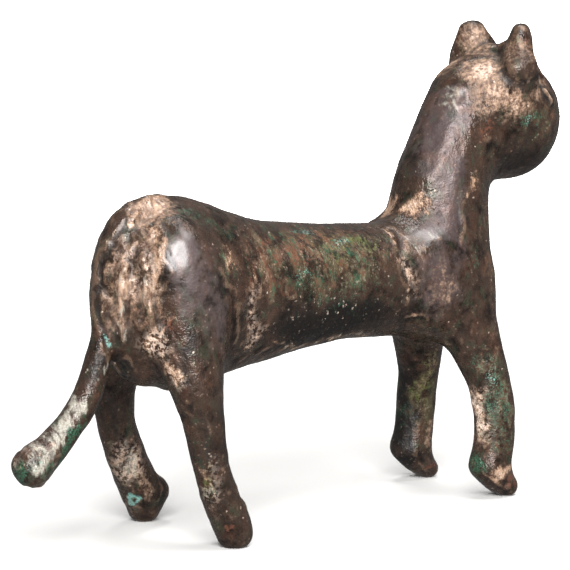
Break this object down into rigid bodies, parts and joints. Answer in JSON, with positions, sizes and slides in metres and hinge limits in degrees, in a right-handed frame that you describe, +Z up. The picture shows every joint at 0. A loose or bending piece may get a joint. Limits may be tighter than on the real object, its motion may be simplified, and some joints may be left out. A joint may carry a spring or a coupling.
{
  "type": "bronze feline figure",
  "caption": "Small solid-cast bronze panther figure, standing, with a ball-shaped head, cupped ears, tall neck, high rump and a hanging club-ended tail.",
  "frame": {"origin": "on the ground below the middle of the figure's box", "axes": "+X towards the head, +Y to the animal's left, +Z up"},
  "size_m": [0.129, 0.0352, 0.0899],
  "materials": {
    "panther_figure": "dark brown patina, satin"
  },
  "bodies": {
    "root": {"panther_figure": "panther_figure"}
  },
  "joints": []
}
